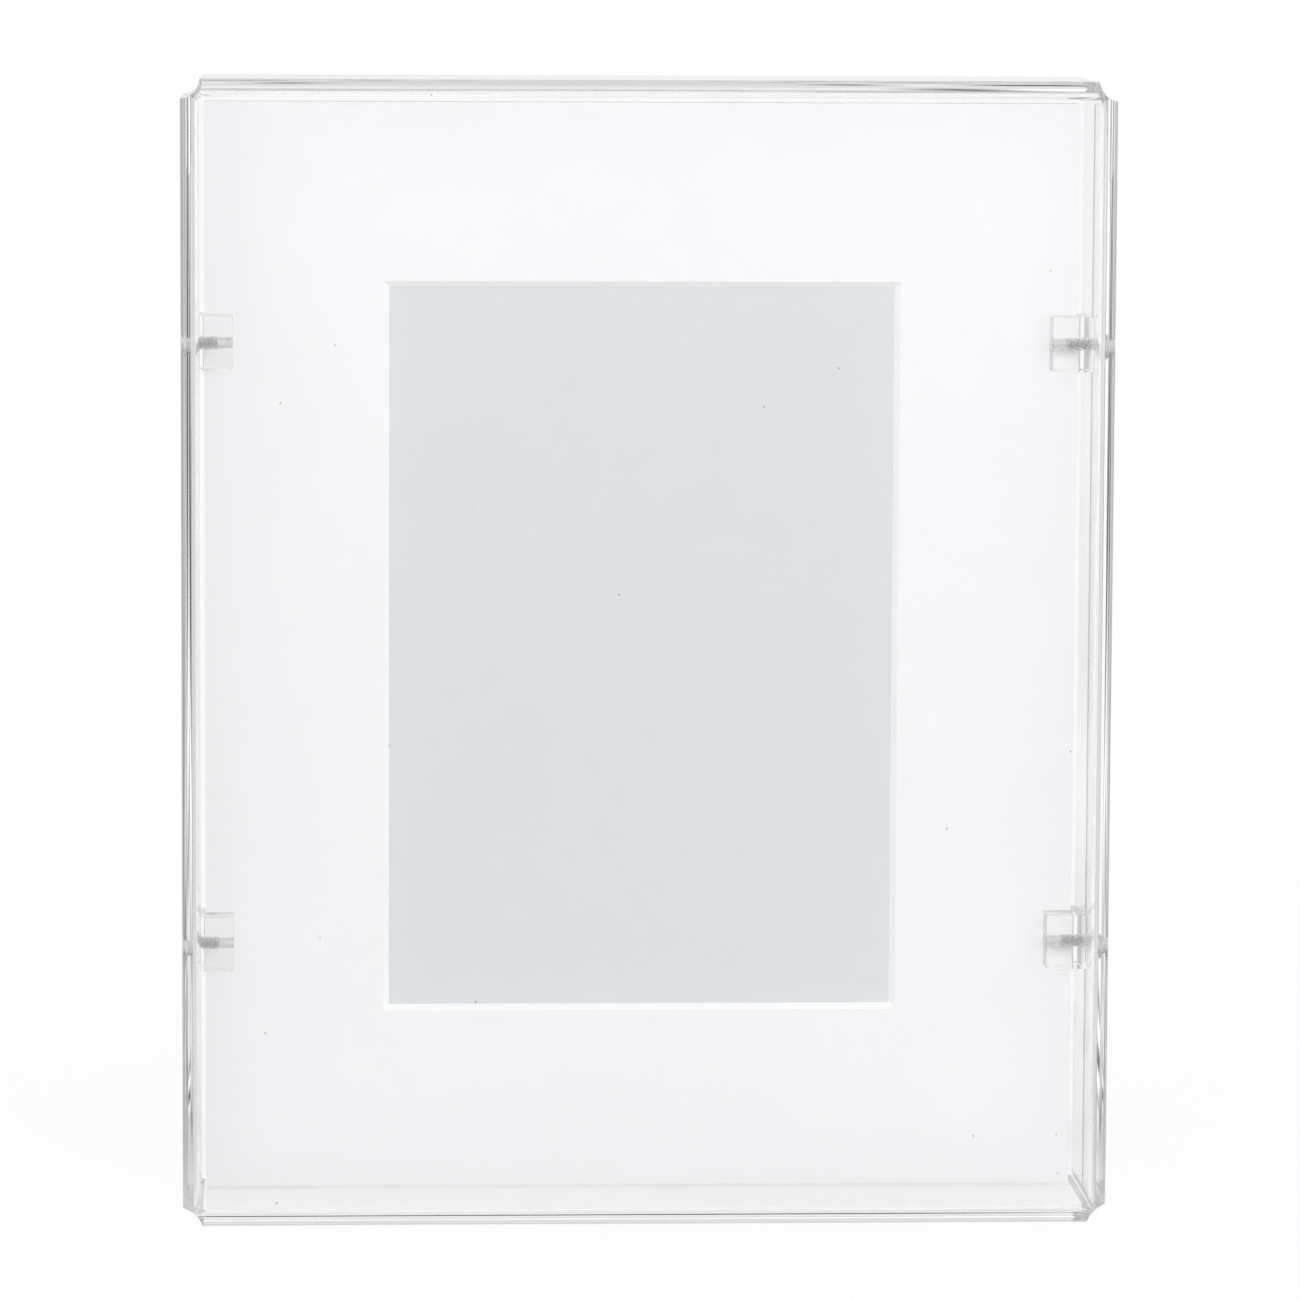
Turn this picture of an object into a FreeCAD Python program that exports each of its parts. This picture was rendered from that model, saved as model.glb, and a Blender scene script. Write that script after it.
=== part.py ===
import FreeCAD, Part
import Sketcher
import os

# A clear box frame, in millimetres.
# X runs across the picture, Y from the viewer towards the wall, and Z up.
# The origin is in the middle of the footprint, on the surface that the frame stands on.

# Driving dimensions
SIZES = {
    "mat_width": 203.2,
    "mat_height": 254.0,
    "mat_thick": 1.4,
    "picture_width": 127.0,
    "picture_height": 177.8,
    "picture_thick": 0.3,
    "window_overlap": 4.75,
    "backing_thick": 3.0,
    "acrylic_thick": 3.0,
    "bend_radius": 1.5,
    "side_gap": 1.9,
    "top_gap": 3.0,
    "display_depth": 27.3,
    "rear_recess": 4.3,
    "corner_web": 0.16,
    "edge_break": 0.3,
    "clip_reach": 8.5,
    "clip_height": 12.7,
    "clip_spacing": 140.0,
    "clip_front_jaw": 8.5,
    "clip_rear_jaw": 3.0,
    "clip_edge_play": 0.3,
    "clip_slot_play": 0.2,
    "clip_bevel": 0.3,
    "thread_dia": 3.0,
    "thread_pitch": 0.5,
    "thread_play": 0.05,
    "wall_hole_play": 0.2,
    "thread_hold": 5.0,
    "tip_bevel": 0.4,
    "tip_gap": 0.2,
    "head_dia": 5.5,
    "head_land": 0.2,
    "hanger_length": 46.0,
    "hanger_height": 9.0,
    "hanger_thick": 0.7,
    "hanger_rise": 1.6,
    "hanger_foot": 8.0,
    "hanger_ramp": 3.0,
    "hanger_inset": 13.0,
    "tooth_pitch": 3.0,
    "tooth_depth": 1.8,
    "brad_dia": 1.2,
    "brad_head_dia": 2.8,
    "brad_head_thick": 0.5,
    "brad_skin": 0.4,
    "brad_play": 0.05,
    "overrun": 1.0,
}
COUNTERSINK_ANGLE = 90.0
HALF_TURN = 180.0
QUARTER_TURN = 90.0
FLATNESS_SHARE = 0.001
DIAGONAL_SHARE = 2 ** 0.5
TURN_AXIS = FreeCAD.Vector(0, 1, 0)

doc = FreeCAD.newDocument("clip_frame")
sheet = doc.addObject("Spreadsheet::Sheet", "Sizes")
for row, (alias, number) in enumerate(SIZES.items(), start=1):
    sheet.set("A%d" % row, alias)
    sheet.set("B%d" % row, str(number))
    sheet.setAlias("B%d" % row, alias)
doc.recompute()

finished = []


class Length:
    """A sum of shares of named sizes: its value, and the expression that binds it to the sheet."""

    def __init__(self, shares):
        self.shares = {alias: share for alias, share in shares.items() if share}

    def __add__(self, other):
        aliases = {**self.shares, **other.shares}
        return Length({
            alias: self.shares.get(alias, 0) + other.shares.get(alias, 0) for alias in aliases
        })

    def __rmul__(self, factor):
        return Length({alias: factor * share for alias, share in self.shares.items()})

    def __neg__(self):
        return -1 * self

    def __sub__(self, other):
        return self + -other

    def value(self):
        return sum(share * SIZES[alias] for alias, share in self.shares.items())

    def text(self):
        terms = ["%s * Sizes.%s" % (share, alias) for alias, share in self.shares.items()]
        return " + ".join(terms) or "0"


class NamedSizes:
    """Gives each driving dimension as a Length, such as size.mat_width."""

    def __getattr__(self, alias):
        return Length({alias: 1})


size = NamedSizes()
NONE = Length({})

# Lengths that follow from the driving dimensions
window_width = size.picture_width - 2 * size.window_overlap
window_height = size.picture_height - 2 * size.window_overlap
pack_thick = size.mat_thick + size.picture_thick + size.backing_thick
slot_width = pack_thick + size.clip_slot_play
box_width = size.mat_width + 2 * size.side_gap + 2 * size.acrylic_thick
box_height = size.mat_height + size.top_gap + 2 * size.acrylic_thick
box_depth = (
    size.acrylic_thick + size.display_depth + size.clip_front_jaw + slot_width + size.rear_recess
)
bend_outside = size.bend_radius + size.acrylic_thick
bite_radius = DIAGONAL_SHARE * size.acrylic_thick + size.corner_web
clip_web = size.side_gap - size.clip_edge_play
screw_length = size.acrylic_thick + size.thread_hold
brad_grip = size.backing_thick - size.brad_skin

# Places that more than one piece uses
front = -0.5 * box_depth
back = 0.5 * box_depth
backing_back = back - size.rear_recess
backing_front = backing_back - size.backing_thick
mat_back = backing_front - size.picture_thick
screw_depth = backing_back - slot_width - 0.5 * size.clip_front_jaw
pack_middle = size.acrylic_thick + 0.5 * size.mat_height
levels = {
    "lower": 0.5 * box_height - 0.5 * size.clip_spacing,
    "upper": 0.5 * box_height + 0.5 * size.clip_spacing,
}


def bind(item, path, length):
    item.setExpression(path, length.text())


def start_body(label):
    body = doc.addObject("PartDesign::Body", label)
    body.Label = label
    return body


def origin_plane(body, role):
    return next(item for item in body.Origin.OriginFeatures if item.Role == role)


def start_sketch(body, role, name, offset=NONE):
    """A sketch on one of the body's own origin planes, moved along the plane's normal."""
    sketch = body.newObject("Sketcher::SketchObject", name)
    sketch.AttachmentSupport = [(origin_plane(body, role), "")]
    sketch.MapMode = "FlatFace"
    bind(sketch, "AttachmentOffset.Base.z", offset)
    return sketch


def draw_outline(sketch, corners):
    """A closed outline of straight sides, each corner held by its distances from the origin."""
    first_side = len(sketch.Geometry)
    points = [FreeCAD.Vector(x.value(), y.value(), 0) for x, y in corners]
    count = len(points)
    for side, point in enumerate(points):
        sketch.addGeometry(Part.LineSegment(point, points[(side + 1) % count]), False)
    for side, (x, y) in enumerate(corners):
        number = first_side + side
        previous = first_side + (side - 1) % count
        add_constraint(sketch, "Coincident", previous, 2, number, 1)
        hold_point(sketch, number, 1, x, y)


def draw_circle(sketch, x, y, radius):
    centre = FreeCAD.Vector(x.value(), y.value(), 0)
    circle = Part.Circle(centre, FreeCAD.Vector(0, 0, 1), radius.value())
    number = sketch.addGeometry(circle, False)
    hold_point(sketch, number, 3, x, y)
    constraint = add_constraint(sketch, "Radius", number, radius.value())
    bind(sketch, "Constraints[%d]" % constraint, radius)


def draw_rectangle(sketch, left, right, low, high):
    draw_outline(sketch, [(left, low), (right, low), (right, high), (left, high)])


def draw_centred_rectangle(sketch, width, height):
    draw_rectangle(sketch, -0.5 * width, 0.5 * width, -0.5 * height, 0.5 * height)


def add_constraint(sketch, *words):
    return sketch.addConstraint(Sketcher.Constraint(*words))


def hold_point(sketch, side, point, x, y):
    """Holds a point's signed distances from the sketch's origin, or puts it on an axis."""
    for kind, axis, length in (("DistanceX", -2, x), ("DistanceY", -1, y)):
        if length.value() == 0:
            add_constraint(sketch, "PointOnObject", side, point, axis)
        else:
            number = add_constraint(sketch, kind, -1, 1, side, point, length.value())
            bind(sketch, "Constraints[%d]" % number, length)


def add_pad(body, sketch, length, name, both_ways=False, backwards=False):
    pad = body.newObject("PartDesign::Pad", name)
    pad.Profile = sketch
    bind(pad, "Length", length)
    pad.Midplane = both_ways
    pad.Reversed = backwards
    doc.recompute()


def add_pocket(body, sketch, length, name, backwards=False):
    """A pocket that has to take material away, so its direction is checked by volume."""
    before = body.Shape.Volume
    pocket = body.newObject("PartDesign::Pocket", name)
    pocket.Profile = sketch
    bind(pocket, "Length", length)
    pocket.Reversed = backwards
    doc.recompute()
    if body.Shape.Volume >= before:
        raise RuntimeError("%s cuts nothing" % name)
    return pocket


def add_turning(body, sketch, axis, name):
    turned = body.newObject("PartDesign::Revolution", name)
    turned.Profile = sketch
    turned.ReferenceAxis = (sketch, [axis])
    turned.Angle = 2 * HALF_TURN
    doc.recompute()


def edges_in_plane(body, depth, shortest):
    """The names of the edges that lie in the plane y = depth and are longer than shortest."""
    near = FLATNESS_SHARE * size.acrylic_thick.value()
    names = []
    for number, edge in enumerate(body.Shape.Edges, start=1):
        box = edge.BoundBox
        flat = abs(box.YMin - depth.value()) < near and abs(box.YMax - depth.value()) < near
        if flat and edge.Length > shortest.value():
            names.append("Edge%d" % number)
    return names


def dress_edges(body, kind, edge_names, size_name, length, name):
    """Rounds or bevels the named edges of the body as it is so far."""
    base = body.Tip
    dressing = body.newObject("PartDesign::" + kind, name)
    dressing.Base = (base, edge_names)
    bind(dressing, size_name, length)
    doc.recompute()


def place_body(body, x, y, z, angle=0.0):
    body.Placement = FreeCAD.Placement(FreeCAD.Vector(), FreeCAD.Rotation(TURN_AXIS, angle))
    bind(body, "Placement.Base.x", x)
    bind(body, "Placement.Base.y", y)
    bind(body, "Placement.Base.z", z)


# The clear cover: one acrylic sheet whose four walls are bent back from the front
def make_cover():
    body = start_body("acrylic_cover")
    outline = start_sketch(body, "XZ_Plane", "cover_outline", -front)
    draw_rectangle(outline, -0.5 * box_width, 0.5 * box_width, NONE, box_height)
    doc.recompute()
    add_pad(body, outline, box_depth, "cover_block", backwards=True)
    bends = edges_in_plane(body, front, 0.5 * box_width)
    dress_edges(body, "Fillet", bends, "Radius", bend_outside, "bends_outside")

    inside_front = front + size.acrylic_thick
    inside = start_sketch(body, "XZ_Plane", "inside_outline", -inside_front)
    draw_rectangle(
        inside,
        -0.5 * box_width + size.acrylic_thick, 0.5 * box_width - size.acrylic_thick,
        size.acrylic_thick, box_height - size.acrylic_thick,
    )
    doc.recompute()
    add_pocket(body, inside, box_depth + size.overrun, "inside_cut")
    bends = edges_in_plane(body, inside_front, 0.5 * box_width)
    dress_edges(body, "Fillet", bends, "Radius", size.bend_radius, "bends_inside")

    bites = start_sketch(body, "XZ_Plane", "corner_bites", -front + size.overrun)
    for across in (-0.5, 0.5):
        for up in (0, 1):
            draw_circle(bites, across * box_width, up * box_height, bite_radius)
    doc.recompute()
    add_pocket(body, bites, box_depth + 2 * size.overrun, "corner_bite_cuts")
    rear = edges_in_plane(body, back, 0.5 * box_width)
    dress_edges(body, "Chamfer", rear, "Size", size.edge_break, "broken_rear_edges")
    make_screw_holes(body)
    finished.append(body)


def make_screw_holes(body):
    """Two countersunk holes in the right wall, mirrored to the left wall."""
    holes = start_sketch(body, "YZ_Plane", "screw_hole_centres", 0.5 * box_width)
    hole_radius = 0.5 * size.thread_dia + size.wall_hole_play
    for level in levels.values():
        draw_circle(holes, screw_depth, level, hole_radius)
    doc.recompute()
    before = body.Shape.Volume
    hole = body.newObject("PartDesign::Hole", "countersunk_holes")
    hole.Profile = holes
    doc.recompute()
    hole.ThreadType = 0
    hole.DepthType = 0
    hole.DrillPoint = 0
    hole.HoleCutType = "Countersink"
    hole.HoleCutCustomValues = True
    hole.HoleCutCountersinkAngle = COUNTERSINK_ANGLE
    bind(hole, "Diameter", 2 * hole_radius)
    bind(hole, "Depth", size.acrylic_thick + size.overrun)
    bind(hole, "HoleCutDiameter", size.head_dia + 2 * size.head_land + 2 * size.thread_play)
    doc.recompute()
    if body.Shape.Volume >= before:
        raise RuntimeError("the screw holes cut nothing")
    mirror = body.newObject("PartDesign::Mirrored", "countersunk_holes_left")
    mirror.Originals = [hole]
    mirror.MirrorPlane = (origin_plane(body, "YZ_Plane"), [""])
    body.Tip = mirror
    doc.recompute()


# The picture pack: its pieces are drawn about their own middle, with their back at Y = 0
def make_mat():
    """The mat's window is bevelled: wider at the front than at the back."""
    body = start_body("mat_board")
    outline = start_sketch(body, "XZ_Plane", "mat_outline")
    draw_centred_rectangle(outline, size.mat_width, size.mat_height)
    doc.recompute()
    add_pad(body, outline, size.mat_thick, "mat_sheet")
    window_front = start_sketch(body, "XZ_Plane", "window_front", size.mat_thick)
    bevel = 2 * size.mat_thick
    draw_centred_rectangle(window_front, window_width + bevel, window_height + bevel)
    window_back = start_sketch(body, "XZ_Plane", "window_back")
    draw_centred_rectangle(window_back, window_width, window_height)
    doc.recompute()
    window = body.newObject("PartDesign::SubtractiveLoft", "bevelled_window")
    window.Profile = window_front
    window.Sections = [window_back]
    window.Ruled = True
    doc.recompute()
    place_body(body, NONE, mat_back, pack_middle)
    finished.append(body)


def make_picture():
    body = start_body("picture_sheet")
    outline = start_sketch(body, "XZ_Plane", "picture_outline")
    draw_centred_rectangle(outline, size.picture_width, size.picture_height)
    doc.recompute()
    add_pad(body, outline, size.picture_thick, "picture_paper")
    place_body(body, NONE, backing_front, pack_middle)
    finished.append(body)


# The hangers lie in the middle of the board's top edge and of its right edge
brad_reach = 0.5 * size.hanger_length - 0.5 * size.hanger_foot
portrait_rise = 0.5 * size.mat_height - size.hanger_inset
landscape_shift = 0.5 * size.mat_width - size.hanger_inset
hanger_seats = {
    "hanger_portrait": (NONE, portrait_rise, 0.0),
    "hanger_landscape": (landscape_shift, NONE, QUARTER_TURN),
}
brad_seats = [
    (-brad_reach, portrait_rise), (brad_reach, portrait_rise),
    (landscape_shift, -brad_reach), (landscape_shift, brad_reach),
]


def make_backing():
    body = start_body("backing_board")
    outline = start_sketch(body, "XZ_Plane", "backing_outline")
    draw_centred_rectangle(outline, size.mat_width, size.mat_height)
    doc.recompute()
    add_pad(body, outline, size.backing_thick, "hardboard_sheet")
    pilots = start_sketch(body, "XZ_Plane", "brad_pilots", -size.overrun)
    for x, z in brad_seats:
        draw_circle(pilots, x, z, 0.5 * size.brad_dia + size.brad_play)
    doc.recompute()
    add_pocket(body, pilots, size.overrun + brad_grip, "brad_pilot_holes", backwards=True)
    place_body(body, NONE, backing_back, pack_middle)
    finished.append(body)


def turn_to_side(body, side, x, z):
    """Puts a piece on the left wall as drawn, or on the right wall turned half round about Y."""
    if side == "left":
        place_body(body, -x, screw_depth, z)
    else:
        place_body(body, x, screw_depth, z, HALF_TURN)


# The clips: clear blocks whose slot takes the edge of the pack
def make_clip(side, level):
    """Drawn with the wall's inner face at X = 0, X inwards, and the screw's axis along X."""
    name = "%s_%s" % (level, side)
    body = start_body("clip_" + name)
    section = start_sketch(body, "XY_Plane", "clip_section_" + name)
    jaw_front = -0.5 * size.clip_front_jaw
    slot_front = 0.5 * size.clip_front_jaw
    slot_back = slot_front + slot_width
    jaw_back = slot_back + size.clip_rear_jaw
    reach = size.clip_reach
    draw_outline(section, [
        (NONE, jaw_front), (reach, jaw_front), (reach, slot_front), (clip_web, slot_front),
        (clip_web, slot_back), (reach, slot_back), (reach, jaw_back), (NONE, jaw_back),
    ])
    doc.recompute()
    add_pad(body, section, size.clip_height, "clip_block_" + name, both_ways=True)
    edges = edges_in_plane(body, jaw_front, NONE)
    dress_edges(body, "Chamfer", edges, "Size", size.clip_bevel, "clip_bevel_" + name)

    drill = start_sketch(body, "YZ_Plane", "clip_drill_" + name, -size.overrun)
    draw_circle(drill, NONE, NONE, 0.5 * size.thread_dia - 0.5 * size.thread_pitch)
    doc.recompute()
    through = size.overrun + size.clip_reach + size.overrun
    add_pocket(body, drill, through, "tap_drill_" + name, backwards=True)
    thread = start_sketch(body, "YZ_Plane", "clip_thread_" + name, -size.overrun)
    draw_circle(thread, NONE, NONE, 0.5 * size.thread_dia + size.thread_play)
    doc.recompute()
    threaded = size.overrun + size.thread_hold + size.tip_gap
    add_pocket(body, thread, threaded, "threaded_bore_" + name, backwards=True)
    turn_to_side(body, side, 0.5 * box_width - size.acrylic_thick, levels[level])
    finished.append(body)


# The screws: countersunk, flush with the outside of the walls
def make_screw(side, level):
    """Drawn with the middle of the head's top at the origin, and X along the shank."""
    name = "%s_%s" % (level, side)
    body = start_body("screw_" + name)
    section = start_sketch(body, "XY_Plane", "screw_section_" + name)
    head_radius = 0.5 * size.head_dia
    shank_radius = 0.5 * size.thread_dia
    neck = size.head_land + head_radius - shank_radius
    draw_outline(section, [
        (NONE, NONE), (screw_length, NONE), (screw_length, shank_radius - size.tip_bevel),
        (screw_length - size.tip_bevel, shank_radius), (neck, shank_radius),
        (size.head_land, head_radius), (NONE, head_radius),
    ])
    doc.recompute()
    add_turning(body, section, "H_Axis", "screw_turning_" + name)
    turn_to_side(body, side, 0.5 * box_width, levels[level])
    finished.append(body)


# The sawtooth hangers: a bowed steel strip with a notched lower edge
def make_hanger(label):
    body = start_body(label)
    section = start_sketch(body, "XY_Plane", label + "_section")
    end = 0.5 * size.hanger_length
    foot = end - size.hanger_foot
    bridge = foot - size.hanger_ramp
    thick = size.hanger_thick
    rise = size.hanger_rise
    right_half = [
        (bridge, rise), (foot, NONE), (end, NONE), (end, thick), (foot, thick), (bridge, rise + thick),
    ]
    left_half = [(-x, y) for x, y in reversed(right_half)]
    draw_outline(section, right_half + left_half)
    doc.recompute()
    add_pad(body, section, size.hanger_height, label + "_strip", both_ways=True)

    through = rise + thick + 2 * size.overrun
    low = -0.5 * size.hanger_height
    notches = int(2 * bridge.value() / size.tooth_pitch.value())
    first = -0.5 * notches * size.tooth_pitch
    tooth = start_sketch(body, "XZ_Plane", label + "_notch_outline", size.overrun)
    draw_outline(tooth, [
        (first, low), (first + size.tooth_pitch, low),
        (first + 0.5 * size.tooth_pitch, low + size.tooth_depth),
    ])
    doc.recompute()
    notch = add_pocket(body, tooth, through, label + "_notch")
    row = body.newObject("PartDesign::LinearPattern", label + "_teeth")
    row.Originals = [notch]
    row.Direction = (tooth, ["H_Axis"])
    row.Occurrences = notches
    bind(row, "Length", (notches - 1) * size.tooth_pitch)
    body.Tip = row
    doc.recompute()

    holes = start_sketch(body, "XZ_Plane", label + "_brad_holes", size.overrun)
    for shift in (-brad_reach, brad_reach):
        draw_circle(holes, shift, NONE, 0.5 * size.brad_dia + size.brad_play)
    doc.recompute()
    add_pocket(body, holes, through, label + "_brad_hole_cuts")
    x, z, angle = hanger_seats[label]
    place_body(body, x, backing_back, pack_middle + z, angle)
    finished.append(body)


def make_brads():
    """The hangers' four brads share one node, as separate solids."""
    brads = []
    head_radius = 0.5 * size.brad_head_dia
    shank_radius = 0.5 * size.brad_dia
    under_head = size.hanger_thick
    top = under_head + size.brad_head_thick
    for number, (x, z) in enumerate(brad_seats, start=1):
        body = start_body("brad_%d" % number)
        section = start_sketch(body, "XY_Plane", "brad_section_%d" % number)
        draw_outline(section, [
            (NONE, -brad_grip), (shank_radius, shank_radius - brad_grip), (shank_radius, under_head),
            (head_radius, under_head), (head_radius, top), (NONE, top),
        ])
        doc.recompute()
        add_turning(body, section, "V_Axis", "brad_turning_%d" % number)
        place_body(body, x, backing_back, pack_middle + z)
        brads.append(body)
    group = doc.addObject("Part::Compound", "hanger_brads")
    group.Label = "hanger_brads"
    group.Links = brads
    finished.append(group)


make_cover()
make_mat()
make_picture()
make_backing()
for clip_side in ("left", "right"):
    for clip_level in levels:
        make_clip(clip_side, clip_level)
        make_screw(clip_side, clip_level)
for hanger_label in hanger_seats:
    make_hanger(hanger_label)
make_brads()
doc.recompute()

for item in doc.Objects:
    if "Invalid" in item.State or "Error" in item.State:
        raise RuntimeError("%s failed: %s" % (item.Name, item.State))
for item in finished:
    if item.Shape.isNull() or not item.Shape.isValid():
        raise RuntimeError("%s has no valid shape" % item.Label)

os.makedirs("parts", exist_ok=True)
for item in finished:
    item.Shape.exportStep("parts/%s.step" % item.Label)
    box = item.Shape.BoundBox
    print(
        "%-20s solids %d volume %9.1f x %7.2f %7.2f y %6.2f %6.2f z %7.2f %7.2f"
        % (item.Label, len(item.Shape.Solids), item.Shape.Volume,
           box.XMin, box.XMax, box.YMin, box.YMax, box.ZMin, box.ZMax)
    )
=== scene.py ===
"""A clear acrylic box frame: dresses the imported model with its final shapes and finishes."""

from math import acos, cos, pi, radians, sin, sqrt

import bmesh
import bpy
import numpy as np
from mathutils import Matrix, Quaternion, Vector


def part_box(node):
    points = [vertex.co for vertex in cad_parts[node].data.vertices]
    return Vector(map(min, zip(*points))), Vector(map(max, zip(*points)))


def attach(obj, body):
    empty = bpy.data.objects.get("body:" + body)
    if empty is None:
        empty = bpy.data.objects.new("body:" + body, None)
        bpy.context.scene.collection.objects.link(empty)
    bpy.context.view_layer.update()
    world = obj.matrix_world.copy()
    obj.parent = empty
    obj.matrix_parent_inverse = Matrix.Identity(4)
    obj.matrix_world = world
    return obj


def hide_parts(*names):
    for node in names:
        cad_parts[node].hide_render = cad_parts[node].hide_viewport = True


bl_info = {
    "name": "Clear box frame",
    "version": (1, 0, 0),
    "blender": (4, 5, 0),
    "location": "View3D > Sidebar > Box frame",
    "description": "Builds the visible pieces of a bent acrylic picture frame round its packed model",
    "category": "Object",
}

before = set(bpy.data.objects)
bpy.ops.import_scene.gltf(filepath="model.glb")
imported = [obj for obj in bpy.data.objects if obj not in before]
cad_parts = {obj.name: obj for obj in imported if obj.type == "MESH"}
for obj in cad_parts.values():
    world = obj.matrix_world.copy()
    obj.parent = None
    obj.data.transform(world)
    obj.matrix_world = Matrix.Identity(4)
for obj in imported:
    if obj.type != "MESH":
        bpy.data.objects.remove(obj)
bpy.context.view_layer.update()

MM = 0.001
FRAME_BODY = "frame"
SIDES = ("left", "right")
LEVELS = ("lower", "upper")
FLIP = Matrix.Rotation(pi, 4, "Y")
HEAD_RADIUS = 3.0
ACRYLIC_IOR = 1.49
PURE_WHITE = (1.0, 1.0, 1.0, 1.0)


def node_box(node):
    """A node's lowest and highest corner, in millimetres."""
    low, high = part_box(node)
    return np.array(low) / MM, np.array(high) / MM


COVER_LOW, COVER_HIGH = node_box("acrylic_cover")
MAT_LOW, MAT_HIGH = node_box("mat_board")


# Surfaces


def grid_faces(rows, columns, closed=False):
    """Corner numbers of the four-sided faces of a grid of rows by columns points.
    closed joins the last column to the first."""
    r = np.arange(rows - 1)[:, None] * columns
    c = np.arange(columns if closed else columns - 1)[None, :]
    after = (c + 1) % columns
    return np.stack([r + c, r + after, r + columns + after, r + columns + c], -1).reshape(-1, 4)


def make_piece(name, surfaces, sharp_angle=30.0):
    """Joins grids of points, in millimetres, into one closed piece.
    Each surface is an array of rows, columns and coordinates, with closed as an optional flag."""
    points, faces, start = [], [], 0
    for surface in surfaces:
        grid, closed = surface if isinstance(surface, tuple) else (surface, False)
        rows, columns = grid.shape[:2]
        points.append(grid.reshape(-1, 3) * MM)
        faces.append(grid_faces(rows, columns, closed) + start)
        start += rows * columns
    mesh = bpy.data.meshes.new(name)
    mesh.from_pydata(np.concatenate(points).tolist(), [], np.concatenate(faces).tolist())
    weld(mesh)
    piece = bpy.data.objects.new(name, mesh)
    bpy.context.scene.collection.objects.link(piece)
    shade(piece, sharp_angle)
    return piece


def weld(mesh, gap=2e-7):
    """Merges the points that neighbouring surfaces share and turns every face outwards."""
    bm = bmesh.new()
    bm.from_mesh(mesh)
    bmesh.ops.remove_doubles(bm, verts=bm.verts, dist=gap)
    bmesh.ops.dissolve_degenerate(bm, edges=bm.edges, dist=gap)
    bmesh.ops.recalc_face_normals(bm, faces=bm.faces)
    bm.to_mesh(mesh)
    bm.free()


def shade(piece, sharp_angle):
    """Smooth shading up to the sharp angle, with large flat faces kept flat."""
    piece.data.shade_smooth()
    piece.data.set_sharp_from_angle(angle=radians(sharp_angle))
    even = piece.modifiers.new("even shading", "WEIGHTED_NORMAL")
    even.keep_sharp = True
    even.weight = 50


def soften(piece, width, segments=2):
    """Breaks a piece's sharp edges by width, in millimetres."""
    bevel = piece.modifiers.new("broken edges", "BEVEL")
    bevel.width = width * MM
    bevel.segments = segments
    bevel.limit_method = "ANGLE"
    bevel.angle_limit = radians(35.0)
    bevel.harden_normals = False


def settle(piece):
    """Applies the piece's modifiers to its mesh."""
    bpy.context.view_layer.update()
    evaluated = piece.evaluated_get(bpy.context.evaluated_depsgraph_get())
    mesh = bpy.data.meshes.new_from_object(evaluated)
    piece.modifiers.clear()
    piece.data = mesh


def carve(piece, cutters, sharp_angle=30.0):
    """Takes the cutters' shapes out of the piece and removes the cutters."""
    piece.modifiers.clear()
    for cutter in cutters:
        cut = piece.modifiers.new("cut", "BOOLEAN")
        cut.operation = "DIFFERENCE"
        cut.solver = "EXACT"
        cut.object = cutter
    settle(piece)
    for cutter in cutters:
        bpy.data.objects.remove(cutter)
    shade(piece, sharp_angle)


def turned(along, radius, sides=48):
    """A surface of revolution about X: a point at (along, radius * cos a, radius * sin a).
    radius is one number for each place along the axis, or an array of places by sides."""
    angle = np.linspace(0, 2 * pi, sides, endpoint=False)
    radius = np.asarray(radius, float)
    if radius.ndim == 1:
        radius = np.repeat(radius[:, None], sides, axis=1)
    x = np.repeat(np.asarray(along, float)[:, None], sides, axis=1)
    return np.stack([x, radius * np.cos(angle), radius * np.sin(angle)], -1), True


def thread_ridge(along, pitch, sides=48):
    """How far the thread's ridge stands at each place and angle, from 0 in its root to 1 on its crest.
    The phase is along / pitch less the turn, and the ridge is a triangle with a flat crest and root."""
    turn = np.linspace(0, 1, sides, endpoint=False)[None, :]
    phase = (np.asarray(along)[:, None] / pitch - turn) % 1.0
    return np.clip(1.3 - 3.2 * np.abs(phase - 0.5), 0.0, 1.0)


def ease(value, low, high):
    """0 below low, 1 above high, and a smooth step between."""
    t = np.clip((value - low) / (high - low), 0.0, 1.0)
    return t * t * (3 - 2 * t)


def make_prism(name, outline, low, high, sharp_angle=30.0):
    """A closed outline of (x, y) points, carried from z = low to z = high. Each end is one flat face."""
    outline = np.asarray(outline, float)
    count = len(outline)
    points = np.concatenate([
        np.column_stack([outline, np.full(count, level)]) for level in (low, high)
    ]) * MM
    faces = [[i, (i + 1) % count, count + (i + 1) % count, count + i] for i in range(count)]
    faces += [list(range(count))[::-1], list(range(count, 2 * count))]
    mesh = bpy.data.meshes.new(name)
    mesh.from_pydata(points.tolist(), [], faces)
    weld(mesh)
    piece = bpy.data.objects.new(name, mesh)
    bpy.context.scene.collection.objects.link(piece)
    shade(piece, sharp_angle)
    return piece


def move_mesh(piece, matrix):
    """Moves the piece's points, so that its object stays at the origin."""
    piece.data.transform(matrix)
    piece.data.update()


def seat(piece, body, slot, *nodes):
    """Puts a finished piece on its body, in place of its nodes."""
    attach(piece, body)
    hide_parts(*nodes)


def paint(piece, material):
    """Gives the whole piece one finish."""
    piece.data.materials.clear()
    piece.data.materials.append(material)


def face_values(piece, key):
    """The centre or the normal of each of a piece's faces, as rows."""
    values = np.empty(len(piece.data.polygons) * 3)
    piece.data.polygons.foreach_get(key, values)
    return values.reshape(-1, 3)


def paint_part(piece, material, chosen):
    """Gives a second finish to the chosen faces of a painted piece."""
    piece.data.materials.append(material)
    piece.data.polygons.foreach_set("material_index", chosen.astype(np.int32))


# Finishes


def join(tree, source, socket):
    """Links another node's output to a socket, or gives the socket a plain value."""
    if isinstance(source, bpy.types.NodeSocket):
        tree.links.new(source, socket)
    else:
        socket.default_value = source


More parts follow.
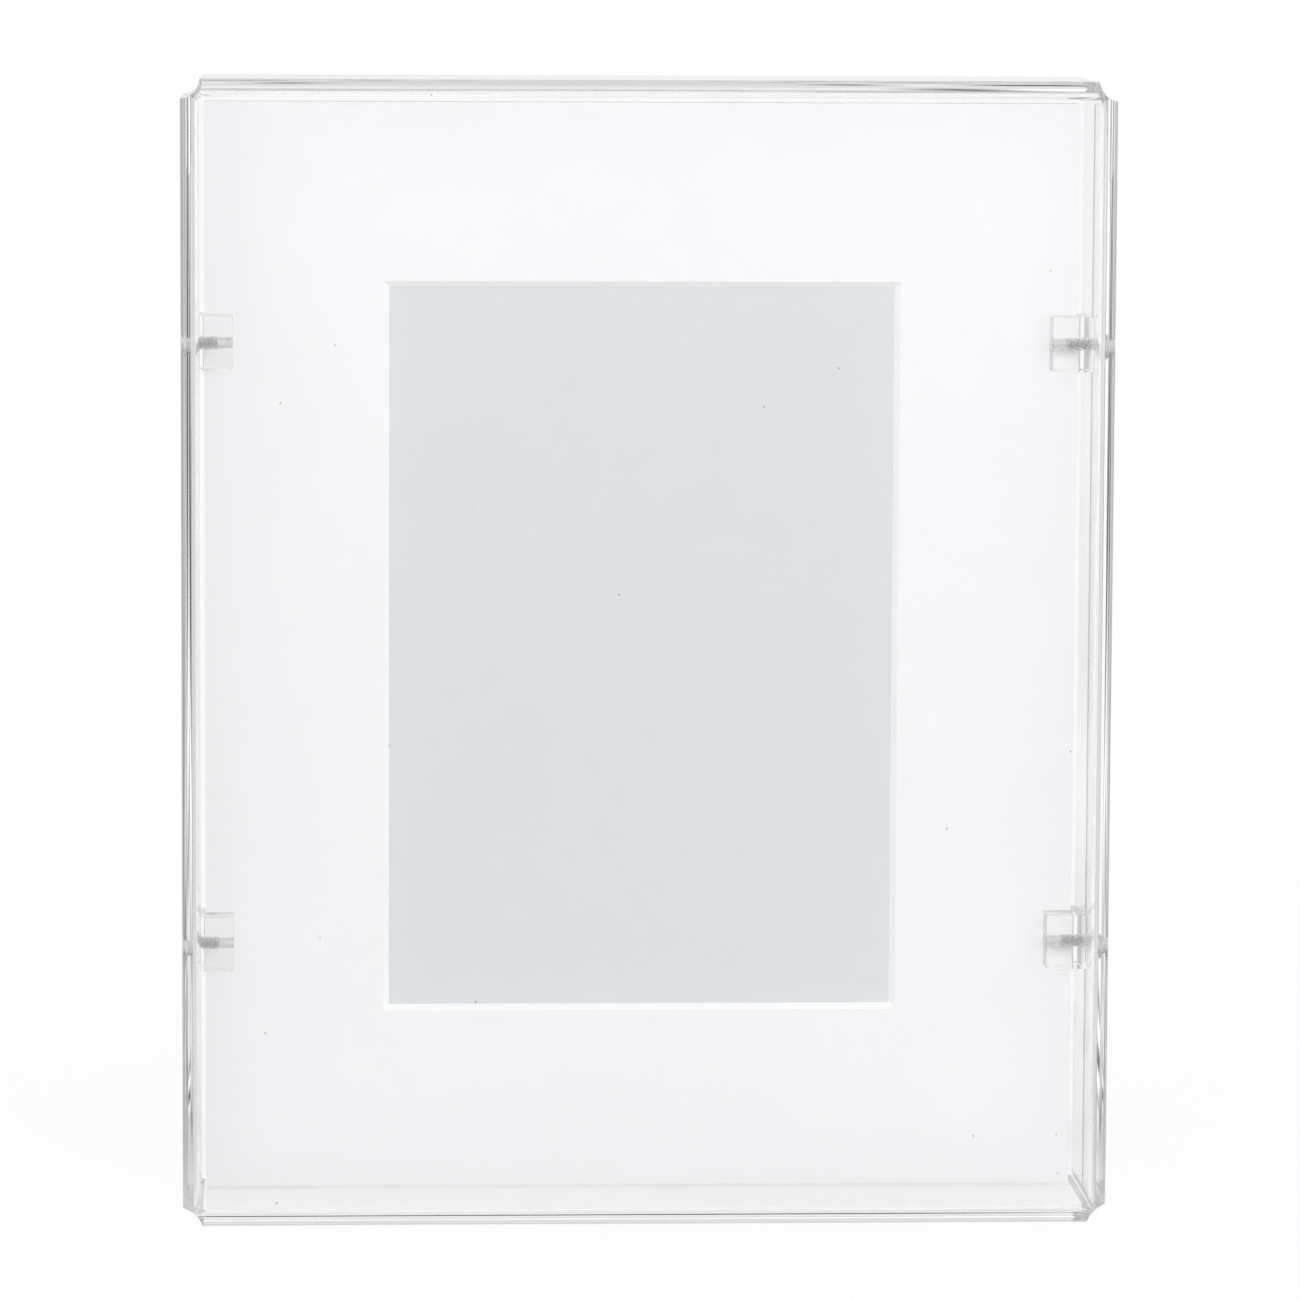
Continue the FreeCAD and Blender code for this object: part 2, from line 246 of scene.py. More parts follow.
def feed(tree, node, *sources, **values):
    """Joins sources to a node's first inputs in turn, and values to its inputs of those names."""
    for source, socket in zip(sources, node.inputs):
        join(tree, source, socket)
    for name, value in values.items():
        join(tree, value, node.inputs[name.replace("_", " ")])


def new_node(tree, kind, *sources, **values):
    """Adds a shader node. A value sets the node's property of that name, or else feeds its input."""
    made = tree.nodes.new("ShaderNode" + kind)
    for name in [name for name in values if hasattr(made, name)]:
        setattr(made, name, values.pop(name))
    feed(tree, made, *sources, **values)
    return made


def maths(tree, operation, *sources):
    """The output of a Math node."""
    return new_node(tree, "Math", *sources, operation=operation).outputs[0]


def mix_colours(tree, share, first, second, blend_type="MIX"):
    """The output of a Mix node for two colours."""
    mix = new_node(tree, "Mix", share, data_type="RGBA", blend_type=blend_type)
    join(tree, first, mix.inputs[6])
    join(tree, second, mix.inputs[7])
    return mix.outputs[2]


def smooth_step(tree, value, low, high, **ends):
    """The output of a smooth step as value goes from low to high."""
    step = new_node(tree, "MapRange", value, low, high, interpolation_type="SMOOTHSTEP", **ends)
    return step.outputs[0]


def start_group(name, inputs, outputs):
    """A shader node group with named sockets. inputs gives each one's type and default.
    Also gives its inputs, as outputs of their node, and the node that its outputs are fed to."""
    group = bpy.data.node_groups.new(name, "ShaderNodeTree")
    for label, kind, default in inputs:
        socket = group.interface.new_socket(label, in_out="INPUT", socket_type="NodeSocket" + kind)
        socket.default_value = default
    for label, kind in outputs:
        group.interface.new_socket(label, in_out="OUTPUT", socket_type="NodeSocket" + kind)
    return group, group.nodes.new("NodeGroupInput").outputs, group.nodes.new("NodeGroupOutput")


def handling_marks():
    """Faint wipe marks and dust: noise stretched one way for wipes, and sparse spots for dust,
    where a point lies within a set distance of the nearest of a field of random points.
    Puts out the colour with its grey specks, and a roughness that both raise."""
    name = "handling marks"
    if name in bpy.data.node_groups:
        return bpy.data.node_groups[name]
    group, given, out = start_group(
        name,
        [("Colour", "Color", (1.0, 1.0, 1.0, 1.0)), ("Speck Colour", "Color", (0.4, 0.4, 0.4, 1.0)),
         ("Base Roughness", "Float", 0.02), ("Amount", "Float", 0.1)],
        [("Colour", "Color"), ("Roughness", "Float")],
    )
    place = new_node(group, "TexCoord").outputs["Object"]
    stretched = new_node(group, "Mapping", place, Scale=(60.0, 60.0, 14.0), Rotation=(0.0, 0.5, 0.0))
    wipes = new_node(group, "TexNoise", stretched.outputs[0], Scale=1.0, Detail=5.0, Roughness=0.6)
    spots = new_node(group, "TexVoronoi", place, Scale=70.0, Randomness=1.0)
    wiped = new_node(group, "MapRange", wipes.outputs[0], 0.5, 0.8).outputs[0]
    specks = new_node(group, "MapRange", spots.outputs["Distance"], 0.022, 0.016).outputs[0]
    marks = maths(group, "MULTIPLY", maths(group, "ADD", wiped, specks), given["Amount"])
    rough = maths(group, "ADD", marks, given["Base Roughness"])
    speckled = mix_colours(group, specks, given["Colour"], given["Speck Colour"])
    feed(group, out, Colour=speckled, Roughness=rough)
    return group


def paper_tooth():
    """The fine tooth of paper and board: two sizes of noise, for a slight change of tone, and the
    finer one for a height."""
    name = "paper tooth"
    if name in bpy.data.node_groups:
        return bpy.data.node_groups[name]
    group, given, out = start_group(
        name,
        [("Colour", "Color", (0.9, 0.9, 0.9, 1.0)), ("Fibre Scale", "Float", 1500.0),
         ("Tone Change", "Float", 0.03)],
        [("Colour", "Color"), ("Height", "Float")],
    )
    place = new_node(group, "TexCoord").outputs["Object"]
    fine = new_node(group, "TexNoise", place, Scale=given["Fibre Scale"], Detail=4.0, Roughness=0.65)
    broad = new_node(group, "TexNoise", place, Scale=45.0, Detail=3.0, Roughness=0.5)
    both = maths(group, "ADD", fine.outputs[0], broad.outputs[0])
    tone = maths(group, "MULTIPLY_ADD", maths(group, "SUBTRACT", both, 1.0), given["Tone Change"], 1.0)
    tinted = new_node(group, "VectorMath", given["Colour"], operation="SCALE", Scale=tone)
    feed(group, out, Colour=tinted.outputs[0], Height=fine.outputs[0])
    return group


def metal_grain():
    """Fine turning and rolling marks: noise stretched along an axis, for a roughness and a height."""
    name = "metal grain"
    if name in bpy.data.node_groups:
        return bpy.data.node_groups[name]
    group, given, out = start_group(
        name,
        [("Stretch", "Vector", (4000.0, 600.0, 600.0)), ("Low", "Float", 0.25), ("High", "Float", 0.45)],
        [("Roughness", "Float"), ("Height", "Float")],
    )
    place = new_node(group, "TexCoord").outputs["Object"]
    stretched = new_node(group, "VectorMath", place, given["Stretch"], operation="MULTIPLY").outputs[0]
    grain = new_node(group, "TexNoise", stretched, Scale=1.0, Detail=4.0, Roughness=0.6).outputs[0]
    spread = new_node(group, "MapRange", grain, To_Min=given["Low"], To_Max=given["High"])
    feed(group, out, Roughness=spread.outputs[0], Height=grain)
    return group


def start_material(name):
    """A new material with its tree, its Principled shader and its output."""
    material = bpy.data.materials.new(name)
    material.use_nodes = True
    tree = material.node_tree
    return material, tree, tree.nodes["Principled BSDF"], tree.nodes["Material Output"]


def use_group(tree, group, **values):
    """Places a node group in a tree with its own values, and gives its outputs."""
    made = tree.nodes.new("ShaderNodeGroup")
    made.node_tree = group
    feed(tree, made, **values)
    return made.outputs


def add_bump(tree, height, shader, strength, distance):
    """A bump from a height, distance in millimetres."""
    bump = new_node(tree, "Bump", Height=height, Strength=strength, Distance=distance * MM)
    feed(tree, shader, Normal=bump.outputs["Normal"])


def pass_lamps(tree, shader, out, passed):
    """Lets a share of the lamps' light straight through, so that the piece casts a pale shadow."""
    shadow = new_node(tree, "LightPath").outputs["Is Shadow Ray"]
    passing = new_node(tree, "BsdfTransparent", (passed, passed, passed, 1.0))
    either = new_node(tree, "MixShader", shadow, shader.outputs[0], passing.outputs[0])
    feed(tree, out, Surface=either.outputs[0])


def clear_acrylic(name, colour, marks, passed=0.945):
    """Polished clear acrylic. Light from the lamps passes through it to what is behind."""
    material, tree, shader, out = start_material(name)
    wear = use_group(tree, handling_marks(), Colour=(*colour, 1.0), Base_Roughness=0.008, Amount=marks)
    feed(tree, shader, Base_Color=wear["Colour"], Roughness=wear["Roughness"], IOR=ACRYLIC_IOR,
         Transmission_Weight=1.0)
    pass_lamps(tree, shader, out, passed)
    return material


def cut_acrylic(name, colour, clear):
    """Acrylic as a drill, a tap or a saw leaves it: frosted, and less clear than the polished faces."""
    material, tree, shader, out = start_material(name)
    marks = use_group(tree, metal_grain(), Stretch=(900.0, 3000.0, 3000.0), Low=0.35, High=0.6)
    feed(tree, shader, Base_Color=(*colour, 1.0), Roughness=marks["Roughness"], IOR=ACRYLIC_IOR,
         Transmission_Weight=clear)
    add_bump(tree, marks["Height"], shader, 0.3, 0.03)
    pass_lamps(tree, shader, out, 0.9)
    return material


def paper(name, colour, fibre_scale, tone_change, roughness, depth):
    """Matt paper or board with a fine tooth, depth in millimetres."""
    material, tree, shader, _ = start_material(name)
    tooth = use_group(
        tree, paper_tooth(), Colour=(*colour, 1.0), Fibre_Scale=fibre_scale, Tone_Change=tone_change)
    feed(tree, shader, Base_Color=tooth["Colour"], Roughness=roughness, Specular_IOR_Level=0.25)
    add_bump(tree, tooth["Height"], shader, 0.35, depth)
    return material


def steel(name, colour, stretch, low, high):
    """Metal with fine marks along one axis, whose roughness goes from low to high."""
    material, tree, shader, _ = start_material(name)
    grain = use_group(tree, metal_grain(), Stretch=stretch, Low=low, High=high)
    feed(tree, shader, Base_Color=(*colour, 1.0), Metallic=1.0, Roughness=grain["Roughness"])
    add_bump(tree, grain["Height"], shader, 0.15, 0.02)
    return material


def hardboard(name, colour):
    """Smooth pressed fibre board: warm brown, with darker fibres and pale specks."""
    material, tree, shader, _ = start_material(name)
    place = new_node(tree, "TexCoord").outputs["Object"]
    fibres = new_node(tree, "TexNoise", place, Scale=420.0, Detail=6.0, Roughness=0.7, Distortion=1.2)
    clouds = new_node(tree, "TexNoise", place, Scale=14.0, Detail=4.0)
    ramp = new_node(tree, "ValToRGB", fibres.outputs[0])
    dark, pale = ramp.color_ramp.elements
    dark.position, pale.position = 0.32, 0.68
    dark.color = (colour[0] * 0.62, colour[1] * 0.58, colour[2] * 0.52, 1.0)
    pale.color = (colour[0] * 1.3, colour[1] * 1.3, colour[2] * 1.3, 1.0)
    clouded = mix_colours(tree, 0.35, ramp.outputs[0], clouds.outputs[0], "MULTIPLY")
    feed(tree, shader, Base_Color=clouded, Roughness=0.55)
    add_bump(tree, fibres.outputs[0], shader, 0.25, 0.05)
    return material


# Settings


def length_setting(name, description, default):
    """A setting for a length, with its default in millimetres."""
    return bpy.props.FloatProperty(
        name=name, description=description, default=default * MM, unit="LENGTH")


def colour_setting(name, description, default):
    """A setting for a colour."""
    return bpy.props.FloatVectorProperty(
        name=name, description=description, default=default, subtype="COLOR", size=3)


class CoverSettings(bpy.types.PropertyGroup):
    """The bent acrylic cover and its finish"""

    sheet: length_setting("Sheet", "Thickness of the acrylic sheet", 3.0)
    bend_radius: length_setting("Bend radius", "Inner radius of the bends", 1.5)
    bite_radius: length_setting("Corner relief", "Radius of the round relief at each corner", 4.4026)
    edge_break: length_setting("Edge break", "Width of the bevel on the rear edges", 0.3)
    colour: colour_setting("Tint", "Tint of the clear acrylic", (0.99, 0.992, 0.99))
    marks: bpy.props.FloatProperty(
        name="Handling marks", description="How far wipes and dust roughen the surface",
        default=0.01, min=0.0, max=0.3)


class PackSettings(bpy.types.PropertyGroup):
    """The mat, the picture and the backing board"""

    window_overlap: length_setting(
        "Window overlap", "How far the mat covers each edge of the picture", 4.75)
    mat_colour: colour_setting("Mat", "Colour of the mat's face", (0.905, 0.9, 0.92))
    # The core is white, and is set lighter than the face partly as painted light, to make up for the
    # shade that falls on the window's bevel.
    core_colour_with_painted_light: colour_setting("Core", "Colour of the bevel-cut core", (0.96, 0.96, 0.965))
    picture_colour: colour_setting("Picture", "Colour of the plain sheet", (0.7, 0.715, 0.748))
    board_colour: colour_setting("Backing", "Colour of the hardboard", (0.52, 0.47, 0.4))


class HardwareSettings(bpy.types.PropertyGroup):
    """The screws and the hangers"""

    thread_pitch: length_setting("Thread pitch", "Distance between two turns of the thread", 0.5)
    steel_colour: colour_setting("Screw heads", "Colour of the screws' heads", (0.88, 0.88, 0.885))
    # The threads' dark steel is painted shade: it stands in for the shade inside the tapped holes that
    # the shanks sit in.
    thread_shade_colour: colour_setting("Threads", "Colour of the screws' threads", (0.26, 0.26, 0.265))
    plated_colour: colour_setting("Hangers", "Colour of the plated hangers", (0.6, 0.6, 0.6))


class StudioSettings(bpy.types.PropertyGroup):
    """The light and the camera"""

    world_strength: bpy.props.FloatProperty(
        name="Surround", description="Strength of the even light from all round", default=0.7)
    key_power: bpy.props.FloatProperty(
        name="Key light", description="Power that each lamp's own power is a multiple of",
        default=1.6, unit="POWER")
    lens: bpy.props.FloatProperty(
        name="Lens", description="Focal length of the camera", default=188.5, subtype="DISTANCE_CAMERA")


SCENE_SETTINGS = {
    "box_cover": CoverSettings, "box_pack": PackSettings,
    "box_hardware": HardwareSettings, "box_studio": StudioSettings,
}


def mm(length_in_metres):
    """A setting's length in millimetres."""
    return length_in_metres / MM


# The cover


class CoverShape:
    """The bent sheet, in millimetres. e is the distance inwards from a wall's outer face.

    The outer bend is a quarter circle of radius sheet + bend, and the inner one a quarter circle
    of radius bend about the same line. Each wall ends where the round corner relief cuts it, at
    sqrt(relief^2 - e^2) from the corner, and beyond the relief's diagonal the two bends meet in a
    mitre, at e from the corner."""

    def __init__(self, settings):
        self.sheet = mm(settings.sheet)
        self.bend = mm(settings.bend_radius)
        self.bend_out = self.sheet + self.bend
        self.bite = mm(settings.bite_radius)
        self.break_width = mm(settings.edge_break)
        self.half_width = COVER_HIGH[0]
        self.height = COVER_HIGH[2]
        self.front, self.back = COVER_LOW[1], COVER_HIGH[1]
        self.centre = self.front + self.bend_out
        self.diagonal = self.bite / sqrt(2)
        turn = np.linspace(0, pi / 2, 17)
        mitre = acos((self.bend_out - self.diagonal) / self.bend)
        inner_turn = np.append(np.linspace(0, pi / 2, 11), mitre)
        steps = np.concatenate([
            self.bend_out * (1 - np.cos(turn)),
            self.bend_out - self.bend * np.cos(inner_turn),
            [self.break_width, self.sheet - self.break_width, self.sheet, self.diagonal],
        ])
        self.steps = np.unique(steps.round(7))
        self.diagonal = self.steps[np.argmin(np.abs(self.steps - self.diagonal))]

    def end(self, e):
        """How far from the corner a wall ends."""
        return np.where(e < self.diagonal, np.sqrt(np.maximum(self.bite**2 - e**2, 0)), e)

    def outer(self, e):
        """The depth of the outer face of the bend."""
        return self.centre - np.sqrt(np.maximum(self.bend_out**2 - (self.bend_out - e) ** 2, 0))

    def inner(self, e):
        """The depth of the inner face of the bend."""
        return self.centre - np.sqrt(np.maximum(self.bend**2 - (self.bend_out - e) ** 2, 0))

    def rear(self, e):
        """The depth of the rear edge, with both its corners broken."""
        near = np.maximum(self.break_width - e, e - self.sheet + self.break_width)
        return self.back - np.maximum(near, 0)

    def surfaces(self):
        """The grids of the four walls, their ends, and the flat front's two faces."""
        e = self.steps
        wall_e = e[e <= self.sheet + 1e-6]
        bend_e = e[e >= self.sheet - 1e-6]
        relief_e = bend_e[bend_e <= self.diagonal + 1e-6]
        edge = self.back - self.break_width
        outer = np.concatenate([[[0, edge]], np.column_stack([e, self.outer(e)])])
        inner = np.concatenate([[[self.sheet, edge]], np.column_stack([bend_e, self.inner(bend_e)])])
        rear = np.column_stack([wall_e, self.rear(wall_e)])
        wall_end = np.stack([
            np.column_stack([wall_e, depth]) for depth in
            (self.outer(wall_e), np.full(len(wall_e), self.centre), self.rear(wall_e))
        ])
        bend_end = np.stack([
            np.column_stack([relief_e, depth]) for depth in (self.outer(relief_e), self.inner(relief_e))
        ])
        made = []
        for place in (self.left, self.right, self.bottom, self.top):
            for section in (outer, inner, rear):
                made.append(np.stack([place(section, 0), place(section, 1)], 1))
            for end in (0, 1):
                made += [place(wall_end, end), place(bend_end, end)]
        x, low, high = self.half_width - self.bend_out, self.bend_out, self.height - self.bend_out
        for depth in (self.front, self.front + self.sheet):
            lower, upper = [[-x, depth, low], [x, depth, low]], [[-x, depth, high], [x, depth, high]]
            made.append(np.array([lower, upper]))
        return made

    def side(self, section, end, sign):
        """Points of a side wall's section, at its lower end for 0 and its upper one for 1."""
        e, depth = section[..., 0], section[..., 1]
        reach = self.end(e)
        z = self.height - reach if end else reach
        return np.stack([sign * (self.half_width - e), depth, z], -1)

    def left(self, section, end):
        return self.side(section, end, -1)

    def right(self, section, end):
        return self.side(section, end, 1)

    def across(self, section, end, upper):
        """Points of the bottom or top wall's section, at its left end for 0 and its right one for 1."""
        e, depth = section[..., 0], section[..., 1]
        x = self.half_width - self.end(e)
        return np.stack([x if end else -x, depth, self.height - e if upper else e], -1)

    def bottom(self, section, end):
        return self.across(section, end, False)

    def top(self, section, end):
        return self.across(section, end, True)


def screw_frame(side, level):
    """The matrix that takes a piece drawn along X, head first, to a screw's place."""
    low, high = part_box("screw_%s_%s" % (level, side))
    middle = (Vector(low) + Vector(high)) / 2
    x = low[0] if side == "left" else high[0]
    place = Matrix.Translation((x, middle[1], middle[2]))
    return place if side == "left" else place @ FLIP


def make_countersink(side, level, sheet):
    """The cutter of one screw hole: a 90 degree cone from the outer face and a plain hole."""
    hole, past = 1.7, 1.0
    along = [-past, -past, 0, HEAD_RADIUS - hole, sheet + past, sheet + past]
    radius = [0, HEAD_RADIUS + past, HEAD_RADIUS, hole, hole, 0]
    cutter = make_piece("countersink", [turned(along, radius, 64)])
    move_mesh(cutter, screw_frame(side, level))
    return cutter


class BOXFRAME_OT_cover(bpy.types.Operator):
    """Bends the clear sheet into the front and four walls, and cuts its screw holes"""

    bl_idname = "boxframe.cover"
    bl_label = "Acrylic cover"

    def execute(self, context):
        settings = context.scene.box_cover
        shape = CoverShape(settings)
        cover = make_piece("acrylic_cover_sheet", shape.surfaces())
        holes = [make_countersink(side, level, shape.sheet) for side in SIDES for level in LEVELS]
        carve(cover, holes)
        paint(cover, clear_acrylic("clear acrylic sheet", settings.colour, settings.marks))
        sawn = cut_acrylic("sawn acrylic", (0.97, 0.97, 0.975), 0.3)
        paint_part(cover, sawn, self.cut_faces(cover, shape))
        seat(cover, FRAME_BODY, "clear_acrylic", "acrylic_cover")
        return {"FINISHED"}

    def cut_faces(self, cover, shape):
        """The faces on a corner relief, which lie at its radius from the corner, and in a screw
        hole, which lie within its radius of its axis and past the outer face."""
        relief_play, face_play = 0.06, 0.02
        x, y, z = face_values(cover, "center").T / MM
        aside, up = shape.half_width - np.abs(x), np.minimum(z, shape.height - z)
        cut = np.abs(np.hypot(aside, up) - shape.bite) < relief_play
        in_wall = (aside > face_play) & (aside < shape.sheet - face_play)
        for side in SIDES:
            for level in LEVELS:
                axis = screw_frame(side, level).translation / MM
                near = np.hypot(y - axis[1], z - axis[2]) < HEAD_RADIUS
                cut |= near & in_wall & (x * axis[0] > 0)
        return cut


class BOXFRAME_OT_clips(bpy.types.Operator):
    """Makes the four slotted clip blocks with their tapped holes"""

    bl_idname = "boxframe.clips"
    bl_label = "Clip blocks"

    def execute(self, context):
        settings = context.scene.box_cover
        pitch = mm(context.scene.box_hardware.thread_pitch)
        material = clear_acrylic("clear acrylic block", (1.0, 1.0, 1.0), settings.marks, 0.99)
        # The tapped bores' grey is partly the frosted cut acrylic and partly painted shade: it is darker
        # than the sawn faces so that the hole round the screw looks dark.
        cut = cut_acrylic("tapped acrylic with painted shade", (0.78, 0.78, 0.79), 0.85)
        for side in SIDES:
            for level in LEVELS:
                node = "clip_%s_%s" % (level, side)
                block = self.make_block(node)
                bore = self.make_bore(side, level, mm(settings.sheet), pitch)
                carve(block, [bore])
                paint(block, material)
                paint_part(block, cut, self.bore_faces(block, side, level))
                seat(block, FRAME_BODY, "clear_acrylic", node)
                block.visible_diffuse = False
        return {"FINISHED"}

    def make_block(self, node):
        """A slotted block: its U-shaped section is carried up through its height."""
        low, high = node_box(node)
        mat_front, pack_back = MAT_LOW[1], node_box("backing_board")[1][1]
        gap, play, web = 0.03, 0.2, 1.6
        inward = 1 if low[0] < 0 else -1
        wall = (low[0] if inward > 0 else high[0]) + inward * gap
        tip = high[0] if inward > 0 else low[0]
        root = (low[0] if inward > 0 else high[0]) + inward * web
        outline = [
            (wall, low[1]), (tip, low[1]), (tip, mat_front - play), (root, mat_front - play),
            (root, pack_back + gap), (tip, pack_back + gap), (tip, high[1]), (wall, high[1]),
        ]
        block = make_prism(node + "_block", outline, low[2], high[2])
        block.modifiers.clear()
        soften(block, 0.22)
        settle(block)
        return block

    def bore_faces(self, block, side, level):
        """The faces whose middle lies within the tapped hole's radius of its axis."""
        reach = 1.62 * MM
        axis = np.array(screw_frame(side, level).translation)
        return np.hypot(*(face_values(block, "center") - axis)[:, 1:].T) < reach

    def make_bore(self, side, level, sheet, pitch):
        """The cutter of a tapped hole: a threaded part and then the plain tap drill's part."""
        threaded, reach, past = 5.2, 8.5, 0.6
        major, minor = 1.56, 1.25
        along = np.arange(-past, threaded + past, pitch / 8)
        fade = 1 - ease(along, threaded - 0.3, threaded + 0.3)
        radius = minor + (major - minor) * thread_ridge(along, pitch) * fade[:, None]
        point, end = np.zeros((1, radius.shape[1])), np.full((1, radius.shape[1]), minor)
        radius = np.concatenate([point, radius, end, point])
        along = np.concatenate([along[:1], along, [reach + past] * 2]) + sheet
        cutter = make_piece("tapped_hole", [turned(along, radius)])
        move_mesh(cutter, screw_frame(side, level))
        return cutter


class BOXFRAME_OT_screws(bpy.types.Operator):
    """Makes the four countersunk screws with their threads and cross recesses"""

    bl_idname = "boxframe.screws"
    bl_label = "Screws"

    def execute(self, context):
        settings = context.scene.box_hardware
        bright = steel("machined steel", settings.steel_colour, (600.0, 3500.0, 3500.0), 0.22, 0.38)
        # One steel in two copies: the heads keep the bright steel, and the threads are darkened as
        # painted shade of the tapped holes.
        darkened = steel("rolled thread", settings.thread_shade_colour, (600.0, 3500.0, 3500.0), 0.3, 0.5)
        for side in SIDES:
            for level in LEVELS:
                node = "screw_%s_%s" % (level, side)
                screw = make_piece(node + "_turned", [self.surface(mm(settings.thread_pitch))])
                carve(screw, [self.make_recess()])
                paint(screw, bright)
                # Faces past the neck, on the threaded part, take the darkened steel, which is painted
                # shade.
                past_neck = face_values(screw, "center")[:, 0] > 1.5 * MM
                paint_part(screw, darkened, past_neck)
                move_mesh(screw, screw_frame(side, level))
                seat(screw, node, "screw_steel", node)
                screw.visible_diffuse = False
        return {"FINISHED"}

    def surface(self, pitch):
        """A flat head, a cone to the neck, a threaded shank and a bevelled tip.
        The radius is the profile's, less the thread's depth between its ridges."""
        head, shank, depth, length = 2.75, 1.49, 0.3, 8.0
        neck = 0.2 + head - shank
        thread = np.arange(neck + 0.15, length - 0.1, pitch / 8)
        cut = ease(thread, neck + 0.1, neck + 0.6)
        grooves = depth * (1 - thread_ridge(thread, pitch)) * cut[:, None]
        tip = 0.4 * ease(thread, length - 0.5, length)[:, None]
        body = shank - grooves - tip
        solid = np.ones((1, 48))
        ends = [0 * solid, (head - 0.08) * solid, head * solid, head * solid, shank * solid]
        radius = np.concatenate([*ends, body, 1.0 * solid, 0 * solid])
        along = np.concatenate([[0, 0, 0.06, 0.2, neck], thread, [length, length]])
        return turned(along, radius)

    def make_recess(self):
        """A cross that narrows as it goes in."""
        arm, reach = 0.36, 1.5
        cross = np.array([
            (arm, reach), (-arm, reach), (-arm, arm), (-reach, arm), (-reach, -arm), (-arm, -arm),
            (-arm, -reach), (arm, -reach), (arm, -arm), (reach, -arm), (reach, arm), (arm, arm),
        ])
        depths, shares = np.array([-0.2, -0.2, 1.45, 1.7]), np.array([0, 1.06, 0.62, 0])
        ring = cross[None] * shares[:, None, None]
        x = np.repeat(depths[:, None], len(cross), 1)
        return make_piece("recess", [(np.stack([x, ring[..., 0], ring[..., 1]], -1), True)])


class BOXFRAME_OT_mat(bpy.types.Operator):
    """Makes the mat board with its bevel-cut window"""

    bl_idname = "boxframe.mat"
    bl_label = "Mat board"

    def execute(self, context):
        settings = context.scene.box_pack
        mat = make_piece("mat_board_sheet", [(self.rings(mm(settings.window_overlap)), True)])
        face = paper("mat face paper", settings.mat_colour, 1400.0, 0.03, 0.85, 0.04)
        # The bevel's core paper is partly the real white core and partly painted light: it is lighter
        # than the face so that the shaded bevel reads as bright as the mat.
        core = paper("mat core paper", settings.core_colour_with_painted_light, 2600.0, 0.02, 0.9, 0.03)
        paint(mat, face)
        cut = np.abs(face_values(mat, "normal")[:, 1]) < 0.9
        paint_part(mat, core, cut)
        seat(mat, FRAME_BODY, "mat_paper", "mat_board")
        return {"FINISHED"}

    def rings(self, overlap):
        """Four-cornered rings: outside at the back and front, then the window at the front and back.
        The window's bevel leans at 45 degrees, as far as the mat is thick."""
        picture_low, picture_high = node_box("picture_sheet")
        half = (picture_high - picture_low)[[0, 2]] / 2 - overlap
        thick = MAT_HIGH[1] - MAT_LOW[1]
        outside = (MAT_HIGH - MAT_LOW)[[0, 2]] / 2
        gap = 0.02
        corners = np.array([(-1, -1), (1, -1), (1, 1), (-1, 1)])
        middle = (MAT_LOW + MAT_HIGH)[2] / 2
        rings = []
        for size, depth in ((outside, MAT_HIGH[1]), (outside, MAT_LOW[1]), (half + thick, MAT_LOW[1]),
                            (half, MAT_HIGH[1]), (outside, MAT_HIGH[1])):
            flat = corners * size
            z = np.maximum(flat[:, 1] + middle, MAT_LOW[2] + gap)
            rings.append(np.column_stack([flat[:, 0], np.full(4, depth), z]))
        return np.stack(rings)


def make_sheet(name, node, columns, rows, lift, clear=0.02):
    """A thin sheet between its node's faces. Its front and back are the same gentle wave:
    lift * sin(2 pi x) * sin(pi z), which fades to nothing at the edges."""
    low, high = node_box(node)
    u, v = np.meshgrid(np.linspace(0, 1, columns), np.linspace(0, 1, rows))
    wave = lift * np.sin(2 * pi * u) * np.sin(pi * v)
    x, z = low[0] + u * (high[0] - low[0]), low[2] + clear + v * (high[2] - low[2] - clear)
    front = np.stack([x, low[1] + clear + np.abs(lift) + wave, z], -1)
    back = np.stack([x, high[1] - clear - np.abs(lift) + wave, z], -1)
    edge = np.stack([
        np.concatenate([grid[0], grid[1:, -1], grid[-1, -2::-1], grid[-2:0:-1, 0]])
        for grid in (front, back)
    ])
    return make_piece(name, [front, back, (edge, True)])


class BOXFRAME_OT_picture(bpy.types.Operator):
    """Makes the plain sheet behind the window"""

    bl_idname = "boxframe.picture"
    bl_label = "Picture sheet"

    def execute(self, context):
        colour = context.scene.box_pack.picture_colour
        piece = make_sheet("picture_sheet_paper", "picture_sheet", 25, 33, 0.03)
        paint(piece, paper("plain picture paper", colour, 2200.0, 0.015, 0.6, 0.015))
        seat(piece, FRAME_BODY, "picture_paper", "picture_sheet")
        return {"FINISHED"}


class BOXFRAME_OT_backing(bpy.types.Operator):
    """Makes the hardboard behind the picture"""

    bl_idname = "boxframe.backing"
    bl_label = "Backing board"

    def execute(self, context):
        board = make_sheet("backing_board_panel", "backing_board", 2, 2, 0.0)
        board.modifiers.clear()
        soften(board, 0.25)
        settle(board)
        shade(board, 30.0)
        paint(board, hardboard("brown hardboard", context.scene.box_pack.board_colour))
        seat(board, FRAME_BODY, "hardboard", "backing_board")
        return {"FINISHED"}


